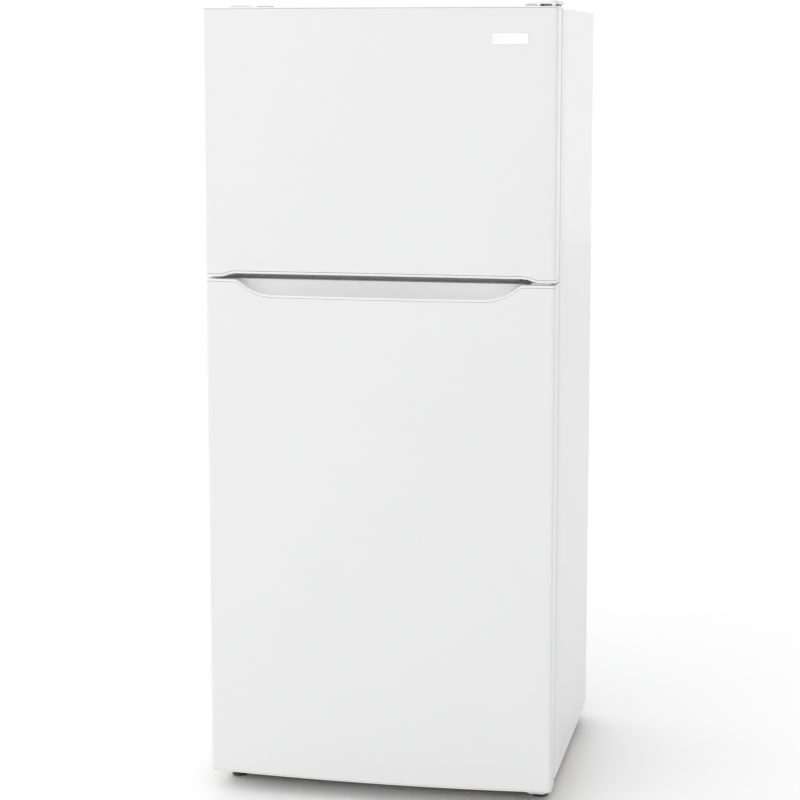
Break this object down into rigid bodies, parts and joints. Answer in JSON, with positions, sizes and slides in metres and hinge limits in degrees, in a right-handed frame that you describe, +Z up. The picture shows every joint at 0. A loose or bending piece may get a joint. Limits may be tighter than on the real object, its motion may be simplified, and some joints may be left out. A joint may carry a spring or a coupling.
{
  "type": "top freezer refrigerator",
  "caption": "White top-freezer refrigerator of the 30 inch class with bowed doors hinged on the right, a pocket handle between them, and fitted inside.",
  "frame": {"origin": "on the floor, under the middle of the whole appliance", "axes": "+X towards the hinge side, +Y towards the back, +Z up; the doors face -Y"},
  "size_m": [0.762, 0.725, 1.737],
  "materials": {
    "white_paint": "satin",
    "white_plastic": "satin",
    "grey_plastic": "satin",
    "clear_plastic": "gloss",
    "shelf_glass": "gloss",
    "gasket_rubber": "matte",
    "foam": "matte",
    "zinc_steel": "satin",
    "dark_steel": "satin",
    "black_plastic": "matte",
    "black_rubber": "matte",
    "copper": "satin",
    "aluminium": "satin"
  },
  "bodies": {
    "cabinet": {"cabinet_wrapper": "white_paint", "mullion_bar": "white_paint", "centre_hinge": "white_paint", "bottom_hinge": "white_paint", "freezer_liner": "white_plastic", "fridge_liner": "white_plastic", "toe_grille": "white_plastic", "top_hinge_cover": "white_plastic", "left_hinge_cap": "white_plastic", "shelf_upper_frame": "white_plastic", "shelf_lower_frame": "white_plastic", "freezer_shelf": "white_plastic", "evaporator_cover": "white_plastic", "control_housing": "white_plastic", "crisper_cover": "clear_plastic", "shelf_upper_glass": "shelf_glass", "shelf_lower_glass": "shelf_glass", "cabinet_foam": "foam", "back_panel": "zinc_steel", "base_frame": "zinc_steel", "machine_cover": "zinc_steel", "top_hinge": "zinc_steel", "compressor": "dark_steel", "cooling_fan_motor": "dark_steel", "drain_pan": "black_plastic", "cord_gland": "black_rubber", "condenser_coil": "copper", "evaporator_coil": "aluminium"},
    "freezer_door": {"freezer_door_skin": "white_paint", "freezer_door_foam": "foam", "freezer_door_liner": "white_plastic", "freezer_door_gasket": "gasket_rubber", "freezer_door_top_cap": "white_plastic", "freezer_door_bottom_cap": "white_plastic", "freezer_door_bin_lower": "clear_plastic", "freezer_door_bin_upper": "clear_plastic", "badge": "aluminium"},
    "fridge_door": {"fridge_door_skin": "white_paint", "fridge_door_foam": "foam", "fridge_door_liner": "white_plastic", "fridge_door_gasket": "gasket_rubber", "fridge_door_handle_cap": "white_plastic", "fridge_door_bottom_cap": "white_plastic", "fridge_door_bin_lower": "clear_plastic", "fridge_door_bin_middle": "clear_plastic", "fridge_door_bin_upper": "clear_plastic", "dairy_box": "clear_plastic"},
    "dairy_lid_body": {"dairy_lid": "clear_plastic"},
    "crisper_left_body": {"crisper_left": "clear_plastic"},
    "crisper_right_body": {"crisper_right": "clear_plastic"},
    "control_dial_body": {"control_dial": "grey_plastic"},
    "freezer_knob_body": {"freezer_knob": "grey_plastic"},
    "air_shutter_body": {"air_shutter": "grey_plastic"},
    "light_switch_body": {"light_switch": "white_plastic"},
    "evaporator_fan_body": {"evaporator_fan": "grey_plastic"},
    "cooling_fan_body": {"cooling_fan": "black_plastic"},
    "leg_left_body": {"leg_left": "dark_steel"},
    "leg_right_body": {"leg_right": "dark_steel"},
    "roller_left_body": {"roller_left": "black_plastic"},
    "roller_right_body": {"roller_right": "black_plastic"}
  },
  "joints": [
    {"name": "door_freezer_swing", "type": "hinge", "parent": "cabinet", "child": "freezer_door", "pos_m": [0.357, -0.316, 1.723], "axis": [0, 0, 1], "range_deg": [0, 120]},
    {"name": "door_fridge_swing", "type": "hinge", "parent": "cabinet", "child": "fridge_door", "pos_m": [0.357, -0.316, 0.042], "axis": [0, 0, 1], "range_deg": [0, 120]},
    {"name": "dairy_lid_flip", "type": "hinge", "parent": "fridge_door", "child": "dairy_lid_body", "pos_m": [0, -0.182, 1.012], "axis": [1, 0, 0], "range_deg": [0, 80]},
    {"name": "crisper_left_slide", "type": "slide", "parent": "cabinet", "child": "crisper_left_body", "axis": [0, -1, 0], "range_m": [0, 0.21]},
    {"name": "crisper_right_slide", "type": "slide", "parent": "cabinet", "child": "crisper_right_body", "axis": [0, -1, 0], "range_m": [0, 0.21]},
    {"name": "light_switch_press", "type": "slide", "parent": "cabinet", "child": "light_switch_body", "axis": [0, -1, 0], "range_m": [0, 0.0065]},
    {"name": "control_dial_turn", "type": "hinge", "parent": "cabinet", "child": "control_dial_body", "pos_m": [0.07, -0.13, 1.077], "axis": [0, -1, 0], "range_deg": [0, 270]},
    {"name": "freezer_knob_turn", "type": "hinge", "parent": "cabinet", "child": "freezer_knob_body", "pos_m": [-0.23, 0.233, 1.262], "axis": [0, -1, 0], "range_deg": [0, 120]},
    {"name": "air_shutter_slide", "type": "slide", "parent": "cabinet", "child": "air_shutter_body", "axis": [1, 0, 0], "range_m": [0, 0.0305]},
    {"name": "evaporator_fan_spin", "type": "hinge", "parent": "cabinet", "child": "evaporator_fan_body", "pos_m": [0, 0.25, 1.56], "axis": [0, 1, 0], "continuous": true},
    {"name": "cooling_fan_spin", "type": "hinge", "parent": "cabinet", "child": "cooling_fan_body", "pos_m": [-0.062, 0.25, 0.125], "axis": [1, 0, 0], "continuous": true},
    {"name": "leg_left_screw", "type": "slide", "parent": "cabinet", "child": "leg_left_body", "axis": [0, 0, 1], "range_m": [-0.012, 0]},
    {"name": "leg_right_screw", "type": "slide", "parent": "cabinet", "child": "leg_right_body", "axis": [0, 0, 1], "range_m": [-0.012, 0]},
    {"name": "roller_left_spin", "type": "hinge", "parent": "cabinet", "child": "roller_left_body", "pos_m": [-0.345, 0.3, 0.022], "axis": [1, 0, 0], "continuous": true},
    {"name": "roller_right_spin", "type": "hinge", "parent": "cabinet", "child": "roller_right_body", "pos_m": [0.345, 0.3, 0.022], "axis": [1, 0, 0], "continuous": true}
  ],
  "couplings": [
    {"joint": "crisper_left_slide", "follows": "door_fridge_swing", "m_per_rad": 0.1},
    {"joint": "crisper_right_slide", "follows": "door_fridge_swing", "m_per_rad": 0.1},
    {"joint": "light_switch_press", "follows": "door_fridge_swing", "m_per_rad": 0.003},
    {"joint": "air_shutter_slide", "follows": "freezer_knob_turn", "m_per_rad": 0.0143}
  ]
}
